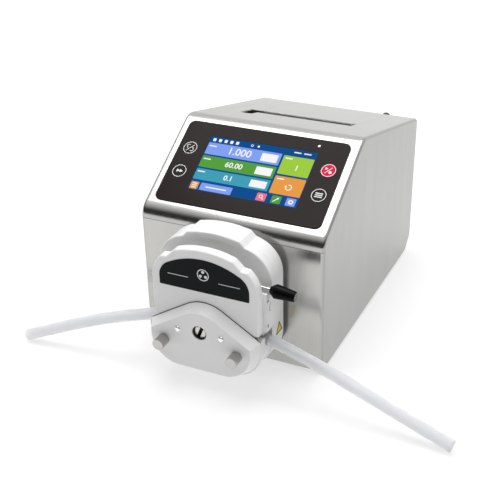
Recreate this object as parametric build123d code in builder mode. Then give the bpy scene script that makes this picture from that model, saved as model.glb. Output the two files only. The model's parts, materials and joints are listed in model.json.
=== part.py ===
from build123d import *

import os
from math import atan2, cos, radians, sin, tan

os.makedirs("parts", exist_ok=True)

# A bench peristaltic pump: a stainless steel drive unit with a slanted touch panel, and a roller
# pump head on its front plate, holding one length of silicone tube.
#
# Frame: +X to the right of someone facing the panel, -Y towards them, +Z up. The origin is on the
# bench, midway between the thumb screws in front and the antenna behind. Every size is in
# millimetres. Depths are counted backwards from the front plate's face and heights upwards from
# the underside of the case, and the plane helpers below turn those into the frame.

# ---------------------------------------------------------------- driving dimensions

FRONT = -92.5            # Y of the front plate's outer face
FOOT = 4.0               # height of the rubber feet
WIDTH = 159.6            # case width
DEPTH = 239.2            # case depth
SHEET = 1.5              # steel sheet thickness
SLANT_FOOT = 116.3       # height where the slanted panel would meet the front plate
SLANT_DEPTH = 85.8       # depth of the slanted panel's upper edge
SLANT_TOP = 169.3        # height of that edge
REAR_TOP = 132.7         # height of the top's rear edge
REAR_FOOT = 10.9         # height of the chamfer along the rear underside
REAR_CHAMFER = 12.0      # its length along the underside
EDGE_ROUND = 3.0         # bend radius at the sides
BULLNOSE = 14.5          # bend radius above the front plate
FOLD_ROUND = 16.0        # bend radius between the slant and the top
SLOT_FIT = 0.3           # gap between pieces that only stand beside each other
RUN_FIT = 0.05           # radial clearance of a running fit

SLANT_ANGLE = atan2(SLANT_TOP - SLANT_FOOT, SLANT_DEPTH)
TOP_ANGLE = atan2(SLANT_TOP - REAR_TOP, DEPTH - SLANT_DEPTH)
FRONT_BEND = radians(90) - SLANT_ANGLE
SEAM = SLANT_FOOT - BULLNOSE * tan(FRONT_BEND / 2)      # the front plate ends where the bend begins

# Display panel, measured along the slant from its sharp lower corner
PANEL_WIDTH, PANEL_LENGTH, PANEL_MIDDLE = 144.6, 81.8, 51.9
PANEL_THICK = 0.8
SCREEN_WIDTH, SCREEN_LENGTH, SCREEN_MIDDLE = 95.0, 53.9, 52.6
KEY_RADIUS, KEY_X = 6.2, 61.3
KEY_RISE = {"upper": 64.6, "lower": 40.7}
KEY_TRAVEL = 0.4
LED_X, LED_RISE, LED_RADIUS = 46.0, 86.5, 1.5

# Carry handle in the top
TRAY_WIDTH, TRAY_LENGTH, TRAY_DEEP = 100.0, 27.0, 20.0
TRAY_MIDDLE = 139.0      # depth of its middle
GRIP_THICK = 3.4

# Pump head, depths of its layers in front of the front plate
HEAD_BACK = -5.2
PLATE_FACE = -20.0       # fixed rear plate
BLOCK_BACK = -20.15      # sliding block
SLAB_FACE = -27.0        # front of its rear slab
COVER_BACK = -37.0
COVER_FACE = -45.0
BEARING_BACK = -45.4     # bearing plate in front of the rotor
BEARING_FACE = -55.5
HEAD_SIDE = 48.5
COVER_SIDE = 45.4
LOWER_SIDE = 47.0
BLOCK_FOOT = 51.0        # underside of the sliding block
PARTING = 50.7           # top of the fixed lower block beside it
LOWER_FOOT = 11.5
SHOULDER = 24.0          # corner radius at the bottom of the head

# Rotor
AXIS = 49.3              # height of the rotor's axis
ROLLER_RADIUS = 9.0
ROLLER_PITCH = 21.0
ROLLER_COUNT = 3
BED_RADIUS = 32.7
SHAFT_RADIUS = 5.0
MID_DEPTH = -31.5        # middle plane of the tube, the rollers and the bed
ROTOR_BACK, ROTOR_FACE = -23.3, -39.7
CAVITY_BACK, CAVITY_FACE = -22.8, -40.2
CHEEK = 1.5              # thickness of the rotor's end plates
ROLLER_PIN = 2.5

# Locking lever
PIVOT = 91.0             # height of its axis in the locked position
LEVER_DROOP = 4.5        # degrees below level when locked
LIFT = 12.0              # how far the block rises as the lever turns over
ECCENTRIC = LIFT / 2
SLOT_FLOOR = 84.8
ROD_NOTCH = (44.8, 80.6, 5.2)     # middle x, foot and width of the notch under the lever's rod

# Tube
TUBE_RADIUS = 4.8
BORE_RADIUS = 3.2
TUBE_HEIGHT = 42.0
TUBE_EXIT = 48.5
FLAT_INNER, FLAT_OUTER = 30.3, 32.4

SCREW_X, SCREW_Z = 31.5, 36.6
THUMB_RADIUS, THUMB_LONG = 4.65, 10.3
DOWEL_X, DOWEL_Z = 18.8, 48.7


# ---------------------------------------------------------------- planes

def facing(depth):
    """Plane facing the user at this depth: local x to the right, local y up."""
    return Plane(origin=(0, FRONT + depth, FOOT), x_dir=(1, 0, 0), z_dir=(0, -1, 0))


def level(height):
    """Level plane at this height above the case's underside: local y runs backwards from the front."""
    return Plane(origin=(0, FRONT, FOOT + height), x_dir=(1, 0, 0), z_dir=(0, 0, 1))


def side(x):
    """Plane facing right at x: local x runs backwards from the front, local y up."""
    return Plane(origin=(x, FRONT, FOOT), x_dir=(0, 1, 0), z_dir=(1, 0, 0))


def on_slant(out):
    """Plane of the slanted panel, moved out by this much: local y climbs the slant."""
    face = Plane(
        origin=(0, FRONT, FOOT + SLANT_FOOT),
        x_dir=(1, 0, 0),
        z_dir=(0, -sin(SLANT_ANGLE), cos(SLANT_ANGLE)),
    )
    return face.offset(out)


def top_height(depth):
    """Height of the case's top at this depth."""
    return SLANT_TOP - (depth - SLANT_DEPTH) * tan(TOP_ANGLE)


def on_top(depth, out):
    """Plane of the sloping top, with its origin at this depth, moved out by this much."""
    face = Plane(
        origin=(0, FRONT + depth, FOOT + top_height(depth)),
        x_dir=(1, 0, 0),
        z_dir=(0, sin(TOP_ANGLE), cos(TOP_ANGLE)),
    )
    return face.offset(out)


def about_y(vertex):
    """Distance of a point from the middle plane."""
    return abs(vertex.X)


# ---------------------------------------------------------------- case

HALF = WIDTH / 2

with BuildPart() as case_form:
    with BuildSketch(side(0)):
        with BuildLine():
            Polyline(
                (0, 0),
                (0, SLANT_FOOT),
                (SLANT_DEPTH, SLANT_TOP),
                (DEPTH, REAR_TOP),
                (DEPTH, REAR_FOOT),
                (DEPTH - REAR_CHAMFER, 0),
                close=True,
            )
        make_face()
    extrude(amount=HALF, both=True)
    folds = case_form.edges().filter_by(Axis.X)
    fillet(folds.filter_by_position(Axis.Z, FOOT + SLANT_FOOT - 1, FOOT + SLANT_FOOT + 1), BULLNOSE)
    folds = case_form.edges().filter_by(Axis.X)
    fillet(folds.filter_by_position(Axis.Z, FOOT + SLANT_TOP - 1, FOOT + SLANT_TOP + 1), FOLD_ROUND)
    flanks = case_form.edges().filter_by(
        lambda e: abs(abs(e.center().X) - HALF) < 0.01
        and e.center().Z > FOOT + 20
        and e.center().Y < FRONT + DEPTH - 1
    )
    fillet(flanks, EDGE_ROUND)

slant_inner = SHEET / cos(SLANT_ANGLE)
top_inner = SHEET / cos(TOP_ANGLE)
inner_front = SLANT_FOOT + SHEET * tan(SLANT_ANGLE) - slant_inner
inner_fold_depth = (
    (SLANT_TOP + SLANT_DEPTH * tan(TOP_ANGLE) - top_inner) - (SLANT_FOOT - slant_inner)
) / (tan(SLANT_ANGLE) + tan(TOP_ANGLE))
inner_fold = SLANT_FOOT - slant_inner + inner_fold_depth * tan(SLANT_ANGLE)
inner_rear = top_height(DEPTH + 1) - top_inner

with BuildPart() as case_cavity:
    with BuildSketch(side(0)):
        with BuildLine():
            Polyline(
                (SHEET, -1),
                (SHEET, inner_front),
                (inner_fold_depth, inner_fold),
                (DEPTH + 1, inner_rear),
                (DEPTH + 1, -1),
                close=True,
            )
        make_face()
    extrude(amount=HALF - SHEET, both=True)
    for height, radius in ((inner_front, BULLNOSE), (inner_fold, FOLD_ROUND)):
        inner_bend = case_cavity.edges().filter_by(Axis.X)
        inner_bend = inner_bend.filter_by_position(Axis.Z, FOOT + height - 1, FOOT + height + 1)
        fillet(inner_bend, radius - SHEET)
    inner_flanks = case_cavity.edges().filter_by(
        lambda e: abs(abs(e.center().X) - HALF + SHEET) < 0.01
        and e.center().Z > FOOT + 100
        and e.center().Y < FRONT + DEPTH - 1
    )
    fillet(inner_flanks, EDGE_ROUND - SHEET)

with BuildPart() as case_shell:
    add(case_form.part)
    add(case_cavity.part, mode=Mode.SUBTRACT)
    with BuildSketch(facing(SHEET)):
        with Locations((0, SEAM / 2 - 1)):
            Rectangle(WIDTH + 2, SEAM + 2)
    extrude(amount=SHEET + 2, mode=Mode.SUBTRACT)
    with BuildSketch(on_slant(2)):
        with Locations((0, SCREEN_MIDDLE)):
            Rectangle(SCREEN_WIDTH + 2.4, SCREEN_LENGTH + 2.4)
        for rise in KEY_RISE.values():
            with Locations((KEY_X, rise), (-KEY_X, rise)):
                Circle(KEY_RADIUS + 0.6)
        with Locations((LED_X, LED_RISE)):
            Circle(LED_RADIUS + 0.3)
    extrude(amount=-6, mode=Mode.SUBTRACT)
    with BuildSketch(on_top(TRAY_MIDDLE, 2)):
        RectangleRounded(TRAY_WIDTH, TRAY_LENGTH, 2.7)
    extrude(amount=-6, mode=Mode.SUBTRACT)
case_shell.part.label = "case_shell"
export_step(case_shell.part, "parts/case_shell.step")

COUPLING_HOLE = 12.0
FLANGE_RADIUS = 33.0     # round flange hidden behind the head
FLANGE_BOLT = 23.0
FLANGE_GRIP = 13.0       # depth the flange screws reach in front of the front plate

with BuildPart() as front_plate:
    with BuildSketch(facing(SHEET)):
        with Locations((0, (SEAM - SLOT_FIT) / 2)):
            Rectangle(WIDTH + 2, SEAM - SLOT_FIT)
    extrude(amount=SHEET + 2)
    add(case_form.part, mode=Mode.INTERSECT)
    with BuildSketch(facing(SHEET + 1)):
        with Locations((0, AXIS)):
            Circle(COUPLING_HOLE)
            with PolarLocations(FLANGE_BOLT, 4, start_angle=45):
                Circle(2.6)
    extrude(amount=SHEET + 4, mode=Mode.SUBTRACT)
front_plate.part.label = "front_plate"
export_step(front_plate.part, "parts/front_plate.step")

FOOT_X, FOOT_FRONT, FOOT_REAR = 64.0, 22.0, 212.0
FOOT_POINTS = [(x, d) for x in (-FOOT_X, FOOT_X) for d in (FOOT_FRONT, FOOT_REAR)]
BASE_HALF = HALF - SHEET - 0.1

with BuildPart() as base_plate:
    with BuildSketch(side(0)):
        with BuildLine():
            Polyline(
                (SHEET + 0.1, 0),
                (DEPTH - REAR_CHAMFER, 0),
                (DEPTH - 0.4, REAR_FOOT - 0.4),
                (DEPTH - 0.4 - SHEET, REAR_FOOT + 0.9),
                (DEPTH - REAR_CHAMFER - 0.6, SHEET),
                (SHEET + 0.1, SHEET),
                close=True,
            )
        make_face()
    extrude(amount=BASE_HALF, both=True)
    with BuildSketch(level(-1)):
        with Locations((0, 150)):
            with GridLocations(14, 8, 5, 5):
                SlotOverall(10, 3)
    extrude(amount=SHEET + 2, mode=Mode.SUBTRACT)
base_plate.part.label = "base_plate"
export_step(base_plate.part, "parts/base_plate.step")

with BuildPart() as feet:
    for x, depth in FOOT_POINTS:
        with BuildSketch(Plane.XY.offset(FOOT)):
            with Locations((x, FRONT + depth)):
                Circle(7)
        extrude(amount=-FOOT, taper=6)
    fillet(feet.edges().filter_by(GeomType.CIRCLE).group_by(Axis.Z)[0], 0.8)
feet.part.label = "feet"
export_step(feet.part, "parts/feet.step")

# Rear panel and what is fixed in it
REAR_FACE = DEPTH - 0.5
INLET_X, INLET_Z = -44.0, 46.0
INLET_W, INLET_H = 27.2, 19.6
SWITCH_Z = 80.0
SWITCH_W, SWITCH_H = 13.0, 19.2
PORT_X, PORT_Z = 28.0, 42.0
PORT_W, PORT_H = 33.3, 9.0
ANTENNA_X, ANTENNA_Z = 47.0, 76.0

with BuildPart() as rear_panel:
    with BuildSketch(facing(REAR_FACE)):
        with Locations((0, (REAR_FOOT + 1.5 + REAR_TOP - 2.2) / 2)):
            Rectangle(2 * BASE_HALF, REAR_TOP - REAR_FOOT - 3.7)
        with Locations((INLET_X, INLET_Z)):
            Rectangle(INLET_W, INLET_H, mode=Mode.SUBTRACT)
        with Locations((INLET_X, SWITCH_Z)):
            Rectangle(SWITCH_W, SWITCH_H, mode=Mode.SUBTRACT)
        with Locations((PORT_X, PORT_Z)):
            Rectangle(PORT_W - 8, PORT_H, mode=Mode.SUBTRACT)
        with Locations((ANTENNA_X, ANTENNA_Z)):
            Circle(3.3, mode=Mode.SUBTRACT)
        with Locations((-8, 104)):
            with GridLocations(0, 6, 1, 5):
                SlotOverall(52, 2.6, mode=Mode.SUBTRACT)
        with Locations((0, 72)):
            with GridLocations(142, 100, 2, 2):
                Circle(1.6, mode=Mode.SUBTRACT)
    extrude(amount=SHEET)
rear_panel.part.label = "rear_panel"
export_step(rear_panel.part, "parts/rear_panel.step")

with BuildPart() as panel_screws:
    for x in (-71, 71):
        for height in (22, 122):
            with BuildSketch(facing(REAR_FACE + 1.6)):
                with Locations((x, height)):
                    Circle(2.9)
            extrude(amount=1.6)
            with BuildSketch(facing(REAR_FACE)):
                with Locations((x, height)):
                    Circle(1.5)
            extrude(amount=7)
    fillet(panel_screws.edges().filter_by(GeomType.CIRCLE).group_by(Axis.Y)[-1], 0.9)
panel_screws.part.label = "panel_screws"
export_step(panel_screws.part, "parts/panel_screws.step")

with BuildPart() as power_inlet:
    with BuildSketch(facing(REAR_FACE + 2.4)):
        with Locations((INLET_X, INLET_Z)):
            RectangleRounded(48, 24, 4)
    extrude(amount=2.4)
    with BuildSketch(facing(REAR_FACE)):
        with Locations((INLET_X, INLET_Z)):
            Rectangle(INLET_W - 0.4, INLET_H - 0.4)
    extrude(amount=22)
    with BuildSketch(facing(REAR_FACE + 3)):
        with Locations((INLET_X, INLET_Z)):
            RectangleRounded(24, 16, 2)
    extrude(amount=19, mode=Mode.SUBTRACT)
    with BuildSketch(facing(REAR_FACE - 4)):
        with Locations((INLET_X - 7, INLET_Z - 2), (INLET_X, INLET_Z + 2), (INLET_X + 7, INLET_Z - 2)):
            Rectangle(2, 4)
    extrude(amount=13)
power_inlet.part.label = "power_inlet"
export_step(power_inlet.part, "parts/power_inlet.step")

TRUNNION_RADIUS, TRUNNION_REACH = 1.0, 5.8
with BuildPart() as switch_frame:
    with BuildSketch(facing(REAR_FACE + 1.8)):
        with Locations((INLET_X, SWITCH_Z)):
            RectangleRounded(SWITCH_W + 3, SWITCH_H + 2.6, 1.4)
    extrude(amount=1.8)
    with BuildSketch(facing(REAR_FACE)):
        with Locations((INLET_X, SWITCH_Z)):
            Rectangle(SWITCH_W - 0.3, SWITCH_H - 0.3)
    extrude(amount=15)
    with BuildSketch(facing(REAR_FACE + 2)):
        with Locations((INLET_X, SWITCH_Z)):
            Rectangle(SWITCH_W - 3, SWITCH_H - 2.6)
    extrude(amount=11, mode=Mode.SUBTRACT)
    with BuildSketch(side(INLET_X)):
        with Locations((REAR_FACE, SWITCH_Z)):
            Circle(TRUNNION_RADIUS + RUN_FIT)
    extrude(amount=TRUNNION_REACH, both=True, mode=Mode.SUBTRACT)
switch_frame.part.label = "switch_frame"
export_step(switch_frame.part, "parts/switch_frame.step")

# The rocker turns on trunnions level with the panel's face; its two faces meet in a shallow V
ROCKER_HALF = SWITCH_H / 2 - 2.1
with BuildPart() as switch_rocker:
    with BuildSketch(side(INLET_X)):
        with BuildLine():
            Polyline(
                (REAR_FACE - 6.0, SWITCH_Z),
                (REAR_FACE - 2.5, SWITCH_Z - ROCKER_HALF + 0.5),
                (REAR_FACE + 0.6, SWITCH_Z - ROCKER_HALF),
                (REAR_FACE + 1.4, SWITCH_Z),
                (REAR_FACE + 3.4, SWITCH_Z + ROCKER_HALF - 0.3),
                (REAR_FACE - 2.5, SWITCH_Z + ROCKER_HALF - 0.6),
                close=True,
            )
        make_face()
    extrude(amount=(SWITCH_W - 3.8) / 2, both=True)
    fillet(switch_rocker.edges().filter_by(Axis.X).sort_by(Axis.Y)[-1], 0.5)
    with BuildSketch(side(INLET_X)):
        with Locations((REAR_FACE, SWITCH_Z)):
            Circle(TRUNNION_RADIUS)
    extrude(amount=TRUNNION_REACH - 0.2, both=True)
switch_rocker.part.label = "switch_rocker"
export_step(switch_rocker.part, "parts/switch_rocker.step")

with BuildPart() as control_port:
    with BuildSketch(facing(REAR_FACE + 1.0)):
        with Locations((PORT_X, PORT_Z)):
            RectangleRounded(39.2, 12.5, 1)
    extrude(amount=1.0)
    with BuildSketch(facing(REAR_FACE + 6.0)):
        with Locations((PORT_X, PORT_Z)):
            Trapezoid(25.0, 8.2, 80)
    extrude(amount=16.0)
    fillet(control_port.edges().filter_by(Axis.Y).filter_by_position(Axis.X, PORT_X - 14, PORT_X + 14), 1.2)
    with BuildSketch(facing(REAR_FACE + 7)):
        for row, count, height in ((0, 8, 1.4), (1, 7, -1.4)):
            with Locations((PORT_X, PORT_Z + height)):
                with GridLocations(2.76, 0, count, 1):
                    Circle(0.55)
    extrude(amount=5, mode=Mode.SUBTRACT)
    with BuildSketch(facing(REAR_FACE + 4.6)):
        with Locations((PORT_X - 16.65, PORT_Z), (PORT_X + 16.65, PORT_Z)):
            RegularPolygon(2.8, 6)
    extrude(amount=3.6)
control_port.part.label = "control_port"
export_step(control_port.part, "parts/control_port.step")

# Antenna: threaded socket, a knuckle that turns on it, and a whip that tilts in the knuckle
KNUCKLE_DEPTH = 247.0
WHIP_RADIUS = 3.5
WHIP_TOP = 131.2

with BuildPart() as antenna_socket:
    with BuildSketch(facing(REAR_FACE + 2.0)):
        with Locations((ANTENNA_X, ANTENNA_Z)):
            RegularPolygon(4.6, 6)
    extrude(amount=2.0)
    with BuildSketch(facing(REAR_FACE + 3.0)):
        with Locations((ANTENNA_X, ANTENNA_Z)):
            Circle(3.1)
    extrude(amount=9)
antenna_socket.part.label = "antenna_socket"
export_step(antenna_socket.part, "parts/antenna_socket.step")

with BuildPart() as antenna_knuckle:
    with BuildSketch(facing(KNUCKLE_DEPTH + 4.0)):
        with Locations((ANTENNA_X, ANTENNA_Z)):
            Circle(4.2)
    extrude(amount=8.9)
    fillet(antenna_knuckle.edges().filter_by(GeomType.CIRCLE), 0.6)
    with BuildSketch(level(ANTENNA_Z)):
        with Locations((ANTENNA_X, KNUCKLE_DEPTH)):
            Rectangle(3.2, 12)
    extrude(amount=8, mode=Mode.SUBTRACT)
antenna_knuckle.part.label = "antenna_knuckle"
export_step(antenna_knuckle.part, "parts/antenna_knuckle.step")

with BuildPart() as antenna_whip:
    with BuildSketch(side(ANTENNA_X)):
        with Locations((KNUCKLE_DEPTH, ANTENNA_Z + 1.9)):
            Circle(1.8)
        with Locations((KNUCKLE_DEPTH, ANTENNA_Z + 4.7)):
            Rectangle(3.6, 5.6)
    extrude(amount=1.4, both=True)
    with BuildSketch(level(ANTENNA_Z + 6.6)):
        with Locations((ANTENNA_X, KNUCKLE_DEPTH)):
            Circle(4.0)
    extrude(amount=WHIP_TOP - ANTENNA_Z - 6.6, taper=0.6)
    fillet(antenna_whip.edges().filter_by(GeomType.CIRCLE).sort_by(Axis.Z)[-1], 2.6)
antenna_whip.part.label = "antenna_whip"
export_step(antenna_whip.part, "parts/antenna_whip.step")

# ---------------------------------------------------------------- display and keys

with BuildPart() as display_overlay:
    with BuildSketch(on_slant(0)):
        with Locations((0, PANEL_MIDDLE)):
            RectangleRounded(PANEL_WIDTH, PANEL_LENGTH, 5.5)
        with Locations((0, SCREEN_MIDDLE)):
            Rectangle(SCREEN_WIDTH + 0.2, SCREEN_LENGTH + 0.2, mode=Mode.SUBTRACT)
        for rise in KEY_RISE.values():
            with Locations((KEY_X, rise), (-KEY_X, rise)):
                Circle(KEY_RADIUS + 0.15, mode=Mode.SUBTRACT)
        with Locations((LED_X, LED_RISE)):
            Circle(LED_RADIUS, mode=Mode.SUBTRACT)
    extrude(amount=PANEL_THICK)
display_overlay.part.label = "display_overlay"
export_step(display_overlay.part, "parts/display_overlay.step")

with BuildPart() as touch_screen:
    with BuildSketch(on_slant(0.6)):
        with Locations((0, SCREEN_MIDDLE)):
            Rectangle(SCREEN_WIDTH, SCREEN_LENGTH)
    extrude(amount=-3)
    with BuildSketch(on_slant(-SHEET - 0.2)):
        with Locations((0, SCREEN_MIDDLE)):
            Rectangle(105.5, 62.0)
    extrude(amount=-4.2)
touch_screen.part.label = "touch_screen"
export_step(touch_screen.part, "parts/touch_screen.step")

STEM_END = -4.2
KEYS = {
    "key_direction": (-KEY_X, KEY_RISE["upper"]),
    "key_prime": (-KEY_X, KEY_RISE["lower"]),
    "key_run": (KEY_X, KEY_RISE["upper"]),
    "key_mode": (KEY_X, KEY_RISE["lower"]),
}
for name, (x, rise) in KEYS.items():
    with BuildPart() as key:
        with BuildSketch(on_slant(PANEL_THICK + 0.15)):
            with Locations((x, rise)):
                Circle(KEY_RADIUS)
        extrude(amount=-2.2)
        with BuildSketch(on_slant(-1)):
            with Locations((x, rise)):
                Circle(2.2)
        extrude(amount=STEM_END + 1)
    key.part.label = name
    export_step(key.part, f"parts/{name}.step")

BOARD_OUT = -13.0
with BuildPart() as main_board:
    with BuildSketch(on_slant(BOARD_OUT)):
        with Locations((0, PANEL_MIDDLE)):
            Rectangle(138, 74)
    extrude(amount=-1.6)
    with BuildSketch(on_slant(BOARD_OUT)):
        with Locations((0, PANEL_MIDDLE)):
            Rectangle(18, 18)
        with Locations((-30, PANEL_MIDDLE + 14)):
            Rectangle(10, 14)
        with Locations((28, PANEL_MIDDLE - 12)):
            Rectangle(12, 8)
    extrude(amount=1.4)
    with BuildSketch(on_slant(BOARD_OUT - 1.6)):
        with Locations((-36, PANEL_MIDDLE - 20), (36, PANEL_MIDDLE - 20)):
            Rectangle(20, 8)
    extrude(amount=-9)
main_board.part.label = "main_board"
export_step(main_board.part, "parts/main_board.step")

with BuildPart() as key_switches:
    for x, rise in KEYS.values():
        with BuildSketch(on_slant(BOARD_OUT)):
            with Locations((x, rise)):
                Rectangle(6, 6)
        extrude(amount=4)
        with BuildSketch(on_slant(BOARD_OUT + 4)):
            with Locations((x, rise)):
                Circle(1.7)
        extrude(amount=STEM_END - KEY_TRAVEL - BOARD_OUT - 4.2)
key_switches.part.label = "key_switches"
export_step(key_switches.part, "parts/key_switches.step")

with BuildPart() as status_led:
    with BuildSketch(on_slant(0.6)):
        with Locations((LED_X, LED_RISE)):
            Circle(LED_RADIUS - 0.1)
    extrude(amount=-7)
    fillet(status_led.edges().filter_by(GeomType.CIRCLE).sort_by(Axis.Z)[-1], 0.7)
status_led.part.label = "status_led"
export_step(status_led.part, "parts/status_led.step")

STANDOFF_X, STANDOFF_RISE = 64.5, 32.0
with BuildPart() as board_standoffs:
    for x in (-STANDOFF_X, STANDOFF_X):
        for rise in (PANEL_MIDDLE - STANDOFF_RISE, PANEL_MIDDLE + STANDOFF_RISE):
            with BuildSketch(on_slant(-SHEET)):
                with Locations((x, rise)):
                    RegularPolygon(3, 6)
            extrude(amount=BOARD_OUT + SHEET)
board_standoffs.part.label = "board_standoffs"
export_step(board_standoffs.part, "parts/board_standoffs.step")

# ---------------------------------------------------------------- carry handle

# A flap hinged along the front of a tray, with room for the fingers behind it and under it
TRAY_WALL = 1.2
FLAP_FRONT, FLAP_REAR = -11.5, 4.5          # measured from the tray's middle
FLAP_LEFT, FLAP_RIGHT = -40.0, 48.0
FLAP_OUT = -0.6
HINGE_AT, HINGE_RADIUS = -9.7, 1.0


def hinge_plane(x):
    """Plane across the flap's hinge axis at x."""
    middle = on_top(TRAY_MIDDLE, FLAP_OUT - GRIP_THICK / 2)
    return Plane(middle.from_local_coords((x, HINGE_AT, 0)), x_dir=middle.y_dir, z_dir=(1, 0, 0))


with BuildPart() as handle_tray:
    with BuildSketch(on_top(TRAY_MIDDLE, -SHEET)):
        RectangleRounded(TRAY_WIDTH + 8, TRAY_LENGTH + 8, 7)
    extrude(amount=-TRAY_WALL)
    with BuildSketch(on_top(TRAY_MIDDLE, -0.3)):
        RectangleRounded(TRAY_WIDTH - 0.2, TRAY_LENGTH - 0.2, 2.6)
    extrude(amount=-TRAY_DEEP)
    with BuildSketch(on_top(TRAY_MIDDLE, 1)):
        RectangleRounded(TRAY_WIDTH - 0.2 - 2 * TRAY_WALL, TRAY_LENGTH - 0.2 - 2 * TRAY_WALL, 1.4)
    extrude(amount=-TRAY_DEEP, mode=Mode.SUBTRACT)
    with BuildSketch(hinge_plane(0)):
        Circle(HINGE_RADIUS)
    extrude(amount=TRAY_WIDTH / 2 - 0.3, both=True, mode=Mode.SUBTRACT)
handle_tray.part.label = "handle_tray"
export_step(handle_tray.part, "parts/handle_tray.step")

with BuildPart() as carry_handle:
    with BuildSketch(hinge_plane(FLAP_LEFT)):
        with Locations(((FLAP_FRONT + FLAP_REAR) / 2 - HINGE_AT, 0)):
            SlotOverall(FLAP_REAR - FLAP_FRONT, GRIP_THICK)
        Circle(HINGE_RADIUS + RUN_FIT, mode=Mode.SUBTRACT)
    extrude(amount=FLAP_RIGHT - FLAP_LEFT)
carry_handle.part.label = "carry_handle"
export_step(carry_handle.part, "parts/carry_handle.step")

with BuildPart() as handle_pin:
    with BuildSketch(hinge_plane(0)):
        Circle(HINGE_RADIUS)
    extrude(amount=TRAY_WIDTH / 2 - 0.3, both=True)
handle_pin.part.label = "handle_pin"
export_step(handle_pin.part, "parts/handle_pin.step")

# ---------------------------------------------------------------- drive inside the case

MOTOR_BACK, MOTOR_HALF = 24.0, 28.2
BRACKET_THICK = 4.0

with BuildPart() as motor_bracket:
    with BuildSketch(facing(MOTOR_BACK)):
        with Locations((0, (SHEET + AXIS + 34) / 2)):
            Rectangle(72, AXIS + 34 - SHEET)
        with Locations((0, AXIS)):
            Circle(19.2, mode=Mode.SUBTRACT)
            with GridLocations(47.14, 47.14, 2, 2):
                Circle(2.6, mode=Mode.SUBTRACT)
    extrude(amount=BRACKET_THICK)
    with BuildSketch(level(SHEET)):
        with Locations((0, MOTOR_BACK + 22)):
            Rectangle(72, 50)
    extrude(amount=BRACKET_THICK)
motor_bracket.part.label = "motor_bracket"
export_step(motor_bracket.part, "parts/motor_bracket.step")

with BuildPart() as stepper_motor:
    with BuildSketch(facing(MOTOR_BACK + 56)):
        with Locations((0, AXIS)):
            Rectangle(2 * MOTOR_HALF, 2 * MOTOR_HALF)
            with GridLocations(2 * MOTOR_HALF, 2 * MOTOR_HALF, 2, 2):
                Rectangle(10, 10, rotation=45, mode=Mode.SUBTRACT)
    extrude(amount=56)
    with BuildSketch(facing(MOTOR_BACK)):
        with Locations((0, AXIS)):
            Circle(19.05)
    extrude(amount=1.6)
    with BuildSketch(facing(MOTOR_BACK + 20)):
        with Locations((0, AXIS)):
            Circle(4.0 + RUN_FIT)
    extrude(amount=22, mode=Mode.SUBTRACT)
stepper_motor.part.label = "stepper_motor"
export_step(stepper_motor.part, "parts/stepper_motor.step")

with BuildPart() as motor_screws:
    with BuildSketch(facing(MOTOR_BACK - BRACKET_THICK)):
        with Locations((0, AXIS)):
            with GridLocations(47.14, 47.14, 2, 2):
                Circle(4.2)
    extrude(amount=4)
    with BuildSketch(facing(MOTOR_BACK)):
        with Locations((0, AXIS)):
            with GridLocations(47.14, 47.14, 2, 2):
                Circle(2.4)
    extrude(amount=BRACKET_THICK)
motor_screws.part.label = "motor_screws"
export_step(motor_screws.part, "parts/motor_screws.step")

with BuildPart() as power_supply:
    with BuildSketch(level(SHEET + 4)):
        with Locations((0, 165)):
            Rectangle(70, 100)
    extrude(amount=30)
    fillet(power_supply.edges().filter_by(Axis.Z), 2)
    with BuildSketch(level(SHEET)):
        with Locations((0, 165)):
            with GridLocations(56, 84, 2, 2):
                Circle(3)
    extrude(amount=4)
power_supply.part.label = "power_supply"
export_step(power_supply.part, "parts/power_supply.step")

COUPLING_BACK, COUPLING_FACE, SHAFT_JOINT = 12.0, -13.0, -1.0
with BuildPart() as motor_shaft:
    with BuildSketch(facing(MOTOR_BACK + 18)):
        with Locations((0, AXIS)):
            Circle(4.0)
    extrude(amount=MOTOR_BACK + 18 - SHAFT_JOINT)
motor_shaft.part.label = "motor_shaft"
export_step(motor_shaft.part, "parts/motor_shaft.step")

with BuildPart() as shaft_coupling:
    with BuildSketch(facing(COUPLING_BACK)):
        with Locations((0, AXIS)):
            Circle(9.5)
            Circle(4.0, mode=Mode.SUBTRACT)
    extrude(amount=COUPLING_BACK - SHAFT_JOINT)
    with BuildSketch(facing(SHAFT_JOINT)):
        with Locations((0, AXIS)):
            Circle(9.5)
            Circle(SHAFT_RADIUS, mode=Mode.SUBTRACT)
    extrude(amount=SHAFT_JOINT - COUPLING_FACE)
shaft_coupling.part.label = "shaft_coupling"
export_step(shaft_coupling.part, "parts/shaft_coupling.step")

# ---------------------------------------------------------------- pump head, fixed pieces

with BuildPart() as flange_screws:
    with BuildSketch(facing(SHEET + 4)):
        with Locations((0, AXIS)):
            with PolarLocations(FLANGE_BOLT, 4, start_angle=45):
                Circle(4.2)
    extrude(amount=4)
    with BuildSketch(facing(SHEET)):
        with Locations((0, AXIS)):
            with PolarLocations(FLANGE_BOLT, 4, start_angle=45):
                Circle(2.4)
    extrude(amount=SHEET + FLANGE_GRIP)
flange_screws.part.label = "flange_screws"
export_step(flange_screws.part, "parts/flange_screws.step")


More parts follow.
